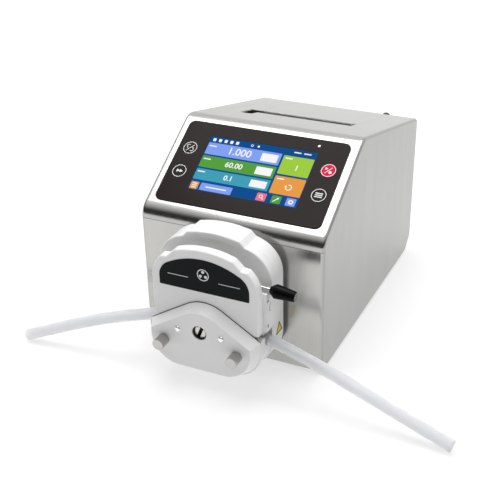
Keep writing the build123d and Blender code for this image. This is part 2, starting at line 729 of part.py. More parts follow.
def crown(depth, half, top, notch_foot, shelf_end, shoulder, base, corner):
    """Finished outline of a head layer at this depth.

    A shallow arc across the top drops through a finger notch on each side to a shelf, which runs
    into a round shoulder and then straight down to the base.
    """
    crown_half, crown_side, crown_peak = top
    with BuildSketch(facing(depth)) as outline:
        with BuildLine():
            ThreePointArc((-crown_half, crown_side), (0, crown_peak), (crown_half, crown_side))
            for sign in (-1, 1):
                Line((sign * crown_half, crown_side), (sign * notch_foot[0], notch_foot[1]))
                if shelf_end != notch_foot:
                    Line((sign * notch_foot[0], notch_foot[1]), (sign * shelf_end[0], shelf_end[1]))
                TangentArc((sign * half, shoulder), (sign * shelf_end[0], shelf_end[1]), tangent=(0, 1))
                Line((sign * half, shoulder), (sign * half, base))
            Line((-half, base), (half, base))
        make_face()
        fillet(outline.vertices().filter_by(lambda v: crown_half - 1 < about_y(v) < notch_foot[0] + 1), NOTCH_ROUND)
        if corner:
            fillet(outline.vertices().group_by(Axis.Y)[0], corner)
    return outline.sketch


NOTCH_ROUND = 2.4
REAR_CROWN = {
    "half": HEAD_SIDE,
    "top": (22.3, 118.9, 121.8),
    "notch_foot": (26.5, 114.6),
    "shelf_end": (26.5, 114.6),
    "shoulder": 88.0,
}
COVER_CROWN = {
    "half": COVER_SIDE,
    "top": (24.6, 111.2, 115.3),
    "notch_foot": (31.4, 104.7),
    "shelf_end": (36.5, 104.2),
    "shoulder": 84.0,
}

with BuildPart() as head_flange:
    with BuildSketch(facing(0)):
        with Locations((0, AXIS)):
            Circle(FLANGE_RADIUS)
            Circle(COUPLING_HOLE, mode=Mode.SUBTRACT)
            with PolarLocations(FLANGE_BOLT, 4, start_angle=45):
                Circle(2.5, mode=Mode.SUBTRACT)
    extrude(amount=-HEAD_BACK)
head_flange.part.label = "head_flange"
export_step(head_flange.part, "parts/head_flange.step")

with BuildPart() as head_plate:
    extrude(crown(HEAD_BACK, **REAR_CROWN, base=LOWER_FOOT, corner=SHOULDER), amount=HEAD_BACK - PLATE_FACE)
    with BuildSketch(facing(PLATE_FACE + 5)):
        with Locations((0, AXIS)):
            Circle(9.5)
    extrude(amount=6, mode=Mode.SUBTRACT)
    with BuildSketch(facing(HEAD_BACK + 1)):
        with Locations((0, AXIS)):
            Circle(10.2)
    extrude(amount=HEAD_BACK - PLATE_FACE - 4, mode=Mode.SUBTRACT)
    with BuildSketch(facing(PLATE_FACE + 5)):
        with Locations((0, PIVOT + ECCENTRIC)):
            SlotOverall(19, 8)
    extrude(amount=6, mode=Mode.SUBTRACT)
    with BuildSketch(facing(HEAD_BACK)):
        with Locations((0, AXIS)):
            with PolarLocations(FLANGE_BOLT, 4, start_angle=45):
                Circle(2.4)
    extrude(amount=FLANGE_GRIP + HEAD_BACK, mode=Mode.SUBTRACT)
head_plate.part.label = "head_plate"
export_step(head_plate.part, "parts/head_plate.step")

with BuildPart() as shaft_bearings:
    for depth in (PLATE_FACE + 5, BEARING_BACK):
        with BuildSketch(facing(depth)):
            with Locations((0, AXIS)):
                Circle(9.5)
                Circle(SHAFT_RADIUS + RUN_FIT, mode=Mode.SUBTRACT)
        extrude(amount=5)
shaft_bearings.part.label = "shaft_bearings"
export_step(shaft_bearings.part, "parts/shaft_bearings.step")

# Lower block: a rear part as wide as the plate and a slightly narrower front part
GUIDE_X, GUIDE_DEPTH, GUIDE_RADIUS = 41.0, -24.2, 2.0
GUIDE_FOOT, GUIDE_TOP = 32.0, 80.0
with BuildPart() as lower_block:
    with BuildSketch(facing(PLATE_FACE)) as rear_part:
        with Locations((0, (LOWER_FOOT + PARTING) / 2)):
            Rectangle(2 * HEAD_SIDE, PARTING - LOWER_FOOT)
        fillet(rear_part.vertices().group_by(Axis.Y)[0], SHOULDER)
    extrude(amount=PLATE_FACE - SLAB_FACE)
    with BuildSketch(facing(SLAB_FACE)) as front_part:
        with Locations((0, (LOWER_FOOT + 46) / 2)):
            Rectangle(2 * LOWER_SIDE, 46 - LOWER_FOOT)
        fillet(front_part.vertices().group_by(Axis.Y)[0], SHOULDER)
    extrude(amount=SLAB_FACE - BEARING_BACK)
    with BuildSketch(facing(CAVITY_BACK)):
        with Locations((0, AXIS)):
            Circle(BED_RADIUS)
    extrude(amount=CAVITY_BACK - CAVITY_FACE, mode=Mode.SUBTRACT)
    with BuildSketch(facing(PLATE_FACE + 1)):
        with Locations((0, AXIS)):
            Circle(6.5)
    extrude(amount=30, mode=Mode.SUBTRACT)
    with BuildSketch(side(0)):
        with Locations((MID_DEPTH, TUBE_HEIGHT)):
            Circle(TUBE_RADIUS + 0.1)
        with Locations((MID_DEPTH, TUBE_HEIGHT + 6)):
            Rectangle(2 * TUBE_RADIUS + 0.2, 12)
    extrude(amount=HEAD_SIDE + 1, both=True, mode=Mode.SUBTRACT)
    with BuildSketch(facing(BEARING_BACK - 1)):
        with Locations((-SCREW_X, SCREW_Z), (SCREW_X, SCREW_Z)):
            Circle(2.0 + RUN_FIT)
    extrude(amount=-6.4, mode=Mode.SUBTRACT)
    with BuildSketch(level(GUIDE_FOOT)):
        with Locations((-GUIDE_X, GUIDE_DEPTH), (GUIDE_X, GUIDE_DEPTH)):
            Circle(GUIDE_RADIUS)
    extrude(amount=30, mode=Mode.SUBTRACT)
lower_block.part.label = "lower_block"
export_step(lower_block.part, "parts/lower_block.step")

with BuildPart() as guide_pins:
    with BuildSketch(level(GUIDE_FOOT)):
        with Locations((-GUIDE_X, GUIDE_DEPTH), (GUIDE_X, GUIDE_DEPTH)):
            Circle(GUIDE_RADIUS)
    extrude(amount=GUIDE_TOP - GUIDE_FOOT)
guide_pins.part.label = "guide_pins"
export_step(guide_pins.part, "parts/guide_pins.step")

# Bearing plate: a V-topped plate whose sides spread towards the back
V_HALF, V_SHOULDER, V_PEAK, V_FOOT = 42.9, 44.2, 70.7, 15.0
V_SPREAD = 23.0
with BuildPart() as bearing_plate:
    with BuildSketch(facing(BEARING_FACE)) as v_outline:
        with BuildLine():
            Polyline(
                (-V_HALF, V_FOOT),
                (-V_HALF, V_SHOULDER),
                (0, V_PEAK),
                (V_HALF, V_SHOULDER),
                (V_HALF, V_FOOT),
                close=True,
            )
        make_face()
        fillet(v_outline.vertices().group_by(Axis.Y)[0], SHOULDER)
        fillet(v_outline.vertices().sort_by(Axis.Y)[-1], SHOULDER)
    extrude(amount=BEARING_FACE - BEARING_BACK, taper=-V_SPREAD)
    fillet(bearing_plate.edges().group_by(Axis.Y)[0], 0.5)
    with BuildSketch(facing(BEARING_BACK + 1)):
        with Locations((0, AXIS)):
            Circle(6.15)
        with Locations((-SCREW_X, SCREW_Z), (SCREW_X, SCREW_Z)):
            Circle(2.0 + RUN_FIT)
        with Locations((-DOWEL_X, DOWEL_Z), (DOWEL_X, DOWEL_Z)):
            Circle(2.5)
    extrude(amount=12, mode=Mode.SUBTRACT)
    with BuildSketch(facing(BEARING_BACK + 1)):
        with Locations((0, AXIS)):
            Circle(9.5)
    extrude(amount=6, mode=Mode.SUBTRACT)
bearing_plate.part.label = "bearing_plate"
export_step(bearing_plate.part, "parts/bearing_plate.step")

with BuildPart() as dowel_pins:
    with BuildSketch(facing(BEARING_BACK)):
        with Locations((-DOWEL_X, DOWEL_Z), (DOWEL_X, DOWEL_Z)):
            Circle(2.5)
    extrude(amount=BEARING_BACK - BEARING_FACE + 1.3)
    fillet(dowel_pins.edges().group_by(Axis.Y)[0], 1.25)
dowel_pins.part.label = "dowel_pins"
export_step(dowel_pins.part, "parts/dowel_pins.step")

for name, x in (("thumb_screw_left", -SCREW_X), ("thumb_screw_right", SCREW_X)):
    with BuildPart() as thumb_screw:
        with BuildSketch(facing(BEARING_FACE - 0.2)):
            with Locations((x, SCREW_Z)):
                Circle(THUMB_RADIUS)
                with PolarLocations(THUMB_RADIUS + 0.15, 30):
                    Circle(0.36, mode=Mode.SUBTRACT)
        extrude(amount=THUMB_LONG)
        with BuildSketch(facing(BEARING_FACE)):
            with Locations((x, SCREW_Z)):
                Circle(2.0)
        extrude(amount=-14.6)
        with BuildSketch(facing(BEARING_FACE)):
            with Locations((x, SCREW_Z)):
                Circle(2.0)
        extrude(amount=1)
    thumb_screw.part.label = name
    export_step(thumb_screw.part, f"parts/{name}.step")

# ---------------------------------------------------------------- pump head, sliding block

with BuildPart() as press_block:
    extrude(crown(BLOCK_BACK, **REAR_CROWN, base=BLOCK_FOOT, corner=0), amount=BLOCK_BACK - SLAB_FACE)
    rim = press_block.edges().group_by(Axis.Y)[0].filter_by(lambda e: e.center().Z > FOOT + BLOCK_FOOT + 1)
    fillet(rim, 1.0)
    with BuildSketch(facing(SLAB_FACE)):
        with Locations((0, (BLOCK_FOOT + SLOT_FLOOR) / 2)):
            Rectangle(2 * HEAD_SIDE, SLOT_FLOOR - BLOCK_FOOT)
    extrude(amount=SLAB_FACE - COVER_BACK)
    with BuildSketch(facing(CAVITY_BACK)):
        with Locations((0, AXIS)):
            Circle(BED_RADIUS)
    extrude(amount=20, mode=Mode.SUBTRACT)
    with BuildSketch(facing(BLOCK_BACK + 1)):
        with Locations((0, AXIS)):
            Circle(6.5)
    extrude(amount=10, mode=Mode.SUBTRACT)
    with BuildSketch(level(BLOCK_FOOT - 1)):
        with Locations((-GUIDE_X, GUIDE_DEPTH), (GUIDE_X, GUIDE_DEPTH)):
            Circle(GUIDE_RADIUS + RUN_FIT)
    extrude(amount=GUIDE_TOP - BLOCK_FOOT + 1.5, mode=Mode.SUBTRACT)
    with BuildSketch(facing(BLOCK_BACK + 1)):
        with Locations((0, PIVOT)):
            Circle(9.3)
    extrude(amount=3.6, mode=Mode.SUBTRACT)
    with BuildSketch(facing(BLOCK_BACK)):
        with Locations((0, PIVOT)):
            Circle(4.0 + RUN_FIT)
    extrude(amount=10, mode=Mode.SUBTRACT)
    notch_middle, notch_foot, notch_width = ROD_NOTCH
    with BuildSketch(level(notch_foot)):
        with Locations((notch_middle, (SLAB_FACE + COVER_BACK) / 2)):
            Rectangle(2 * (HEAD_SIDE - notch_middle), notch_width)
    extrude(amount=SLOT_FLOOR - notch_foot, mode=Mode.SUBTRACT)
press_block.part.label = "press_block"
export_step(press_block.part, "parts/press_block.step")

with BuildPart() as block_cover:
    extrude(crown(COVER_BACK, **COVER_CROWN, base=BLOCK_FOOT, corner=0), amount=COVER_BACK - COVER_FACE)
    rim = block_cover.edges().group_by(Axis.Y)[0].filter_by(lambda e: e.center().Z > FOOT + BLOCK_FOOT + 1)
    fillet(rim, 1.8)
    with BuildSketch(facing(COVER_BACK)):
        with Locations((0, AXIS)):
            Circle(BED_RADIUS)
    extrude(amount=COVER_BACK - CAVITY_FACE, mode=Mode.SUBTRACT)
    with BuildSketch(facing(COVER_BACK + 1)):
        with Locations((0, AXIS)):
            Circle(6.5)
    extrude(amount=10, mode=Mode.SUBTRACT)
    with BuildSketch(facing(COVER_BACK + 1)):
        with Locations((0, PIVOT)):
            Circle(4.0 + RUN_FIT)
    extrude(amount=6.5, mode=Mode.SUBTRACT)
block_cover.part.label = "block_cover"
export_step(block_cover.part, "parts/block_cover.step")

LABEL_HALF, LABEL_FOOT, LABEL_PEAK = 38.2, 79.8, 108.0
with BuildPart() as head_label:
    with BuildSketch(facing(COVER_FACE)) as label_outline:
        with BuildLine():
            ThreePointArc((-29.0, 100.6), (0, LABEL_PEAK), (29.0, 100.6))
            for sign in (-1, 1):
                TangentArc((sign * LABEL_HALF, 87.0), (sign * 29.0, 100.6), tangent=(0, 1))
                Line((sign * LABEL_HALF, 87.0), (sign * LABEL_HALF, LABEL_FOOT))
            Line((-LABEL_HALF, LABEL_FOOT), (LABEL_HALF, LABEL_FOOT))
        make_face()
        fillet(label_outline.vertices().group_by(Axis.Y)[0], 0.8)
    extrude(amount=0.3)
head_label.part.label = "head_label"
export_step(head_label.part, "parts/head_label.step")

with BuildPart() as side_marker:
    with BuildSketch(side(HEAD_SIDE)):
        with Locations((-13.9, 42.0)):
            RegularPolygon(6.8, 3, rotation=90)
    extrude(amount=0.3)
side_marker.part.label = "side_marker"
export_step(side_marker.part, "parts/side_marker.step")

# ---------------------------------------------------------------- rotor

with BuildPart() as rotor_shaft:
    with BuildSketch(facing(SHAFT_JOINT)):
        with Locations((0, AXIS)):
            Circle(SHAFT_RADIUS)
    extrude(amount=SHAFT_JOINT + 53.4)
    with BuildSketch(facing(ROTOR_BACK - CHEEK)):
        with Locations((0, AXIS)):
            Circle(9)
    extrude(amount=ROTOR_BACK - ROTOR_FACE - 2 * CHEEK)
    with BuildSketch(facing(-50.4)):
        with Locations((0, AXIS)):
            Rectangle(2.8, 12, rotation=-22)
    extrude(amount=4, mode=Mode.SUBTRACT)
rotor_shaft.part.label = "rotor_shaft"
export_step(rotor_shaft.part, "parts/rotor_shaft.step")

with BuildPart() as rotor_cheeks:
    for depth in (ROTOR_BACK, ROTOR_FACE + CHEEK):
        with BuildSketch(facing(depth)):
            with Locations((0, AXIS)):
                Circle(28.5)
                Circle(SHAFT_RADIUS, mode=Mode.SUBTRACT)
                with PolarLocations(ROLLER_PITCH, ROLLER_COUNT, start_angle=90):
                    Circle(ROLLER_PIN, mode=Mode.SUBTRACT)
                with PolarLocations(ROLLER_PITCH - 2, ROLLER_COUNT, start_angle=30):
                    Circle(5, mode=Mode.SUBTRACT)
        extrude(amount=CHEEK)
rotor_cheeks.part.label = "rotor_cheeks"
export_step(rotor_cheeks.part, "parts/rotor_cheeks.step")

with BuildPart() as roller_pins:
    with BuildSketch(facing(ROTOR_BACK)):
        with Locations((0, AXIS)):
            with PolarLocations(ROLLER_PITCH, ROLLER_COUNT, start_angle=90):
                Circle(ROLLER_PIN)
    extrude(amount=ROTOR_BACK - ROTOR_FACE)
roller_pins.part.label = "roller_pins"
export_step(roller_pins.part, "parts/roller_pins.step")

ROLLER_GAP = 0.3
for number in range(ROLLER_COUNT):
    turn = radians(90 + number * 360 / ROLLER_COUNT)
    with BuildPart() as roller:
        with BuildSketch(facing(ROTOR_BACK - CHEEK - ROLLER_GAP)):
            with Locations((ROLLER_PITCH * cos(turn), AXIS + ROLLER_PITCH * sin(turn))):
                Circle(ROLLER_RADIUS)
                Circle(ROLLER_PIN + RUN_FIT, mode=Mode.SUBTRACT)
        extrude(amount=ROTOR_BACK - ROTOR_FACE - 2 * CHEEK - 2 * ROLLER_GAP)
        fillet(roller.edges().filter_by(GeomType.CIRCLE).filter_by(lambda e: e.radius > 5), 0.6)
    roller.part.label = f"roller_{number + 1}"
    export_step(roller.part, f"parts/roller_{number + 1}.step")

# ---------------------------------------------------------------- locking lever

droop = radians(-LEVER_DROOP)
KNOB_START, KNOB_END = 50.0, 70.6

with BuildPart() as cam_shaft:
    with BuildSketch(facing(BLOCK_BACK - 0.2)):
        with Locations((0, PIVOT)):
            Circle(4.0)
    extrude(amount=BLOCK_BACK - 0.2 - COVER_BACK + 5.2)
    with BuildSketch(facing(SLAB_FACE - 0.3)):
        with Locations((0, PIVOT)):
            Circle(5.6)
    extrude(amount=SLAB_FACE - COVER_BACK - 0.6)
    with BuildSketch(facing(BLOCK_BACK - 0.2)):
        with Locations((0, PIVOT)):
            Circle(9.0)
    extrude(amount=2.2)
    with BuildSketch(facing(BLOCK_BACK - 1)):
        with Locations((-ECCENTRIC * sin(droop), PIVOT + ECCENTRIC * cos(droop))):
            Circle(2.0)
    extrude(amount=-4.6)
    lever_plane = Plane(
        origin=(0, FRONT + (SLAB_FACE + COVER_BACK) / 2, FOOT + PIVOT),
        x_dir=(0, 1, 0),
        z_dir=(cos(droop), 0, sin(droop)),
    )
    with BuildSketch(lever_plane):
        Circle(1.5)
    extrude(amount=8, mode=Mode.SUBTRACT)
cam_shaft.part.label = "cam_shaft"
export_step(cam_shaft.part, "parts/cam_shaft.step")

with BuildPart() as lever_rod:
    with BuildSketch(lever_plane):
        Circle(1.5)
    extrude(amount=KNOB_START + 8)
lever_rod.part.label = "lever_rod"
export_step(lever_rod.part, "parts/lever_rod.step")

with BuildPart() as lever_knob:
    with BuildSketch(Plane(lever_plane.origin, x_dir=lever_plane.z_dir, z_dir=(0, -1, 0))):
        with BuildLine():
            Polyline(
                (KNOB_START, 0),
                (KNOB_START, 2.7),
                (KNOB_START + 4.2, 5.7),
                (KNOB_END, 4.0),
                (KNOB_END, 0),
                close=True,
            )
        make_face()
    revolve(axis=Axis(lever_plane.origin, lever_plane.z_dir))
    fillet(lever_knob.edges().filter_by(GeomType.CIRCLE).filter_by(lambda e: e.radius > 3.9), 0.9)
    with BuildSketch(lever_plane):
        Circle(1.5)
    extrude(amount=KNOB_START + 8, mode=Mode.SUBTRACT)
lever_knob.part.label = "lever_knob"
export_step(lever_knob.part, "parts/lever_knob.step")

# ---------------------------------------------------------------- tube

JAW_X, JAW_LONG = 42.0, 6.0
with BuildPart() as tube_jaws:
    for sign in (-1, 1):
        with BuildSketch(side(sign * JAW_X)):
            with Locations((MID_DEPTH, BLOCK_FOOT - 2.0)):
                Rectangle(2 * TUBE_RADIUS - 0.4, 4.0)
            with Locations((MID_DEPTH, TUBE_HEIGHT)):
                Circle(TUBE_RADIUS + 0.1, mode=Mode.SUBTRACT)
        extrude(amount=JAW_LONG / 2, both=True)
tube_jaws.part.label = "tube_jaws"
export_step(tube_jaws.part, "parts/tube_jaws.step")

# Routes of the two free ends, as (x, depth, height), from the head to the cut end on the bench
ROUTES = {
    "tube_right": [(48.5, -31.5, 42.0), (88.0, -35.8, 33.9), (145.0, -42.6, 16.2), (199.4, -48.6, 0.8)],
    "tube_left": [(-48.5, -31.5, 42.0), (-84.0, -37.2, 33.6), (-128.0, -44.4, 18.2), (-170.3, -51.4, 0.8)],
}


def in_frame(route):
    """Points of a route in the part's frame."""
    return [Vector(x, FRONT + depth, FOOT + height) for x, depth, height in route]


with BuildPart() as head_tube:
    with BuildSketch(facing(MID_DEPTH + 6.8)):
        with BuildLine():
            outer = CenterArc((0, AXIS), FLAT_OUTER, -8, 196)
            inner = CenterArc((0, AXIS), FLAT_INNER, -8, 196)
            Line(outer @ 0, inner @ 0)
            Line(outer @ 1, inner @ 1)
        make_face()
    extrude(amount=13.6)
    for sign in (-1, 1):
        with BuildSketch(side(sign * 31.0)):
            with Locations((MID_DEPTH, TUBE_HEIGHT)):
                Circle(TUBE_RADIUS)
        extrude(amount=sign * (TUBE_EXIT + 2 - 31.0))
    for route in ROUTES.values():
        start, second = in_frame(route)[:2]
        split(bisect_by=Plane(start, z_dir=second - start), keep=Keep.BOTTOM)
head_tube.part.label = "head_tube"
export_step(head_tube.part, "parts/head_tube.step")

for name, route in ROUTES.items():
    points = in_frame(route)
    runs = [points[i + 1] - points[i] for i in range(len(points) - 1)]
    radii = []
    for before, after in zip(runs, runs[1:]):
        half_turn = radians(before.get_angle(after)) / 2
        radii.append(0.45 * min(before.length, after.length) / tan(half_turn))
    with BuildPart() as tube:
        with BuildLine():
            path = FilletPolyline(*points, radius=radii)
        with BuildSketch(Plane(points[0], z_dir=runs[0])) as section:
            Circle(TUBE_RADIUS)
            Circle(BORE_RADIUS, mode=Mode.SUBTRACT)
        sweep()
    print(name, "bend radii", [round(r) for r in radii], "length", round(path.length, 1))
    print(name, "volume over section times length", round(tube.part.volume / path.length / section.sketch.area, 4))
    tube.part.label = name
    export_step(tube.part, f"parts/{name}.step")
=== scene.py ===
import json
from math import atan2, cos, pi, radians, sin, tan

import bmesh
import bpy
from mathutils import Matrix, Vector


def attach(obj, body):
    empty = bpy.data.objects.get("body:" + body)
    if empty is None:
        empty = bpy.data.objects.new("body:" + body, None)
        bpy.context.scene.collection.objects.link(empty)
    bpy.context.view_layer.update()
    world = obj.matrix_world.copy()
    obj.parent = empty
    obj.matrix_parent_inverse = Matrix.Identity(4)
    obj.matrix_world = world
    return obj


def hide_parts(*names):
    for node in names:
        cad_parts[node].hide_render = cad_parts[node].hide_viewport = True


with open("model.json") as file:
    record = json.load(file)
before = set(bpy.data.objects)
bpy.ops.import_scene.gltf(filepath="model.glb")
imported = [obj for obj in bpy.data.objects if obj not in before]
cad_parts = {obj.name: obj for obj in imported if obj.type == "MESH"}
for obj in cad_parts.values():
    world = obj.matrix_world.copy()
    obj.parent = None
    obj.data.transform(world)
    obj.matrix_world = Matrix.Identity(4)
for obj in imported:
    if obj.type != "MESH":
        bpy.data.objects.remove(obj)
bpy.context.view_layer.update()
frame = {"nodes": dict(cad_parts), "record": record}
nodes = frame["nodes"]

MM = 0.001

# ---------------------------------------------------------------- sizes, in millimetres

FRONT, FOOT = -92.5, 4.0                    # Y of the front plate's face, height of the case's underside
SLANT_FOOT, SLANT_DEPTH, SLANT_TOP = 116.3, 85.8, 169.3
SLANT = atan2(SLANT_TOP - SLANT_FOOT, SLANT_DEPTH)
KEY_OUT, SCREEN_OUT = 0.95, 0.6             # heights of the keys' and the screen's faces over the slant
SCREEN_WIDTH, SCREEN_LENGTH, SCREEN_MIDDLE = 95.0, 53.9, 52.6
KEY_X, KEY_UPPER, KEY_LOWER = 61.3, 64.6, 40.7
HEAD_SIDE = 48.5
COVER_DEPTH, LABEL_DEPTH = -45.0, -45.3
AXIS = 49.3                                 # height of the rotor's axis
SHAFT_FACE = 53.2                           # distance of the shaft's end face from the front plate
PIVOT, LEVER_DROOP = 91.0, radians(4.5)     # height of the lever's axis, its angle below level
KNOB_END, FACE_SKIN = 70.6, 0.15            # knob's end from the lever's axis, depth counted as its face
V_HALF, V_SHOULDER, V_PEAK, V_ROUND = 42.9, 44.2, 70.7, 24.0
V_DEPTH, V_SPREAD = 10.1, radians(23)       # depth of the bearing plate, angle it widens by to the back
TUBE_RADIUS, BORE_RADIUS = 4.8, 3.2
INK = 0.06                                  # thickness of printed marks


def in_frame(x, depth, height):
    """A point given by its depth from the front plate and height above the case's underside."""
    return Vector((x, FRONT + depth, FOOT + height)) * MM


def on_slant(x, rise, out):
    """A point over the slanted panel, this far up its slope."""
    depth = rise * cos(SLANT) - out * sin(SLANT)
    height = SLANT_FOOT + rise * sin(SLANT) + out * cos(SLANT)
    return in_frame(x, depth, height)


def on_label(x, height, out):
    """A point over the label on the head's cover."""
    return in_frame(x, LABEL_DEPTH - out, height)


def on_cover(x, height, out):
    """A point over the front of the head's cover."""
    return in_frame(x, COVER_DEPTH - out, height)


def on_side(depth, height, out):
    """A point over the right side of the head."""
    return in_frame(HEAD_SIDE + out, depth, height)


# ---------------------------------------------------------------- camera, light and floor

AZIMUTH, ELEVATION, ROLL = radians(25.65), radians(28.32), radians(-1.13)
CAMERA_AT = Vector((301.8, -683.5, 455.5)) * MM
LENS = 68.7
SKY_FRONT, SKY_BACK, SKY_TOP = 0.03, 0.9, 0.9
FLOOR_REACH = 6                             # half the floor's side, in metres


def place_camera():
    """Camera at the reference viewpoint."""
    forward = Vector((-sin(AZIMUTH) * cos(ELEVATION), cos(AZIMUTH) * cos(ELEVATION), -sin(ELEVATION)))
    level = Vector((cos(AZIMUTH), sin(AZIMUTH), 0))
    upright = level.cross(forward)
    right = level * cos(ROLL) + upright * sin(ROLL)
    up = upright * cos(ROLL) - level * sin(ROLL)
    data = bpy.data.cameras.new("camera")
    data.lens = LENS
    data.sensor_width = 36
    data.clip_start, data.clip_end = 0.01, 50
    camera = bpy.data.objects.new("camera", data)
    bpy.context.scene.collection.objects.link(camera)
    turn = Matrix((right, up, -forward)).transposed().to_4x4()
    camera.matrix_world = Matrix.Translation(CAMERA_AT) @ turn
    bpy.context.scene.camera = camera


def area_light(name, at, aim, size, power):
    """A soft box at a point, turned towards another."""
    data = bpy.data.lights.new(name, "AREA")
    data.shape = "RECTANGLE"
    data.size, data.size_y = size
    data.energy = power
    light = bpy.data.objects.new(name, data)
    bpy.context.scene.collection.objects.link(light)
    light.location = at
    light.rotation_euler = (Vector(aim) - Vector(at)).to_track_quat("-Z", "Y").to_euler()


def add_node(tree, kind, inputs=None, **settings):
    """New shader node. Each input is a value or another node's output."""
    made = tree.nodes.new("ShaderNode" + kind)
    for key, value in settings.items():
        setattr(made, key, value)
    for key, value in (inputs or {}).items():
        if isinstance(value, bpy.types.NodeSocket):
            tree.links.new(value, made.inputs[key])
        else:
            made.inputs[key].default_value = value
    return made


def sky():
    """Surroundings: bright overhead and behind, dim in front."""
    world = bpy.data.worlds.new("studio")
    bpy.context.scene.world = world
    world.use_nodes = True
    tree = world.node_tree
    toward = add_node(tree, "TexCoord").outputs["Generated"]
    split = add_node(tree, "SeparateXYZ", {0: toward})

    def eased(value, low, high, least=0.0, most=1.0):
        """Number that goes smoothly from least to most as a value goes from low to high."""
        limits = {"Value": value, "From Min": low, "From Max": high, "To Min": least, "To Max": most}
        return add_node(tree, "MapRange", limits, interpolation_type="SMOOTHSTEP").outputs[0]

    horizon = eased(split.outputs["Y"], -0.6, 0.9, SKY_FRONT, SKY_BACK)
    climb = eased(split.outputs["Z"], 0.4, 0.95)
    strength = add_node(tree, "Mix", {0: climb, 2: horizon, 3: SKY_TOP})
    background = tree.nodes["Background"]
    background.inputs["Color"].default_value = (1, 1, 1, 1)
    tree.links.new(strength.outputs[0], background.inputs["Strength"])


def lay_floor():
    """Plain pale floor, lit a little from below so that shadows on it stay light."""
    mesh = bpy.data.meshes.new("floor")
    corners = [(x * FLOOR_REACH, y * FLOOR_REACH, 0) for x, y in ((-1, -1), (1, -1), (1, 1), (-1, 1))]
    mesh.from_pydata(corners, [], [(0, 1, 2, 3)])
    floor = bpy.data.objects.new("floor", mesh)
    bpy.context.scene.collection.objects.link(floor)
    material = bpy.data.materials.new("floor")
    material.use_nodes = True
    shader = material.node_tree.nodes["Principled BSDF"]
    shader.inputs["Base Color"].default_value = (0.45, 0.45, 0.45, 1)
    shader.inputs["Roughness"].default_value = 0.9
    shader.inputs["Emission Color"].default_value = (1, 1, 1, 1)
    shader.inputs["Emission Strength"].default_value = 0.55
    mesh.materials.append(material)


scene = bpy.context.scene
scene.view_settings.view_transform = "Standard"
scene.cycles.use_denoising = True
place_camera()
sky()
lay_floor()
area_light("overhead", (-0.1, 0.2, 1.6), (0, 0.05, 0), (1.5, 1.1), 20)

# ---------------------------------------------------------------- materials

CLOUD = 26.0                                # size of the slow unevenness in every material
SOFT_EDGE = 0.3                             # radius of the shading that softens edges
METAL = {"Metallic": 1.0}
DULL, SOFT = {"Specular IOR Level": 0.06}, {"Specular IOR Level": 0.3}


def shown(red, green, blue):
    """Linear colour of a display colour given in 0 to 255."""
    return tuple((((value / 255) + 0.055) / 1.055) ** 2.4 for value in (red, green, blue))


def blank(name, roughness, gloss):
    """New material with constants set on its shader."""
    material = bpy.data.materials.new(name)
    material.use_nodes = True
    tree = material.node_tree
    shader = tree.nodes["Principled BSDF"]
    shader.inputs["Roughness"].default_value = roughness
    for key, value in (gloss or {}).items():
        shader.inputs[key].default_value = value
    return material, tree, shader


def noise(tree, place, size, stretch=(1, 1, 1), detail=3.0):
    """Noise from 0 to 1 with grains of this size in millimetres, drawn out where the stretch is small."""
    scale = [part / (size * MM) for part in stretch]
    spread = add_node(tree, "Mapping", {"Vector": place, "Scale": scale}).outputs[0]
    return add_node(tree, "TexNoise", {"Vector": spread, "Scale": 1.0, "Detail": detail}).outputs["Fac"]


def varied(tree, value, centre, spread):
    """Number that follows a 0 to 1 noise around a centre."""
    ends = {"From Min": 0.25, "From Max": 0.75, "To Min": centre - spread, "To Max": centre + spread}
    return add_node(tree, "MapRange", {"Value": value, **ends}).outputs[0]


def vector_node(tree, operation, inputs, output=0):
    """Output of a new node that calculates with vectors."""
    return add_node(tree, "VectorMath", inputs, operation=operation).outputs[output]


def tinted(tree, colour, strength):
    """Colour made lighter and darker by a number near 1."""
    return vector_node(tree, "SCALE", {0: colour, "Scale": strength})


def finish(
    name, colour, roughness, grain, stretch=(1, 1, 1),
    shade=0.05, uneven=0.05, relief=0.0, edge=SOFT_EDGE, gloss=None,
):
    """Material whose colour, roughness and relief vary with a fine grain and a slow cloudiness.

    Grain, relief and the soft edge's radius are in millimetres; gloss holds constants of the shader.
    """
    material, tree, shader = blank(name, roughness, gloss)
    place = add_node(tree, "TexCoord").outputs["Object"]
    fine = noise(tree, place, grain, stretch)
    slow = noise(tree, place, CLOUD, detail=2.0)
    both = add_node(tree, "Mix", {0: 0.5, 2: fine, 3: slow}).outputs[0]
    tree.links.new(tinted(tree, colour, varied(tree, both, 1.0, shade)), shader.inputs["Base Color"])
    tree.links.new(varied(tree, slow, roughness, uneven), shader.inputs["Roughness"])
    soft = add_node(tree, "Bevel", {"Radius": edge * MM}, samples=4).outputs[0]
    bump = add_node(tree, "Bump", {"Height": fine, "Distance": relief * MM, "Normal": soft}).outputs[0]
    tree.links.new(bump, shader.inputs["Normal"])
    return material


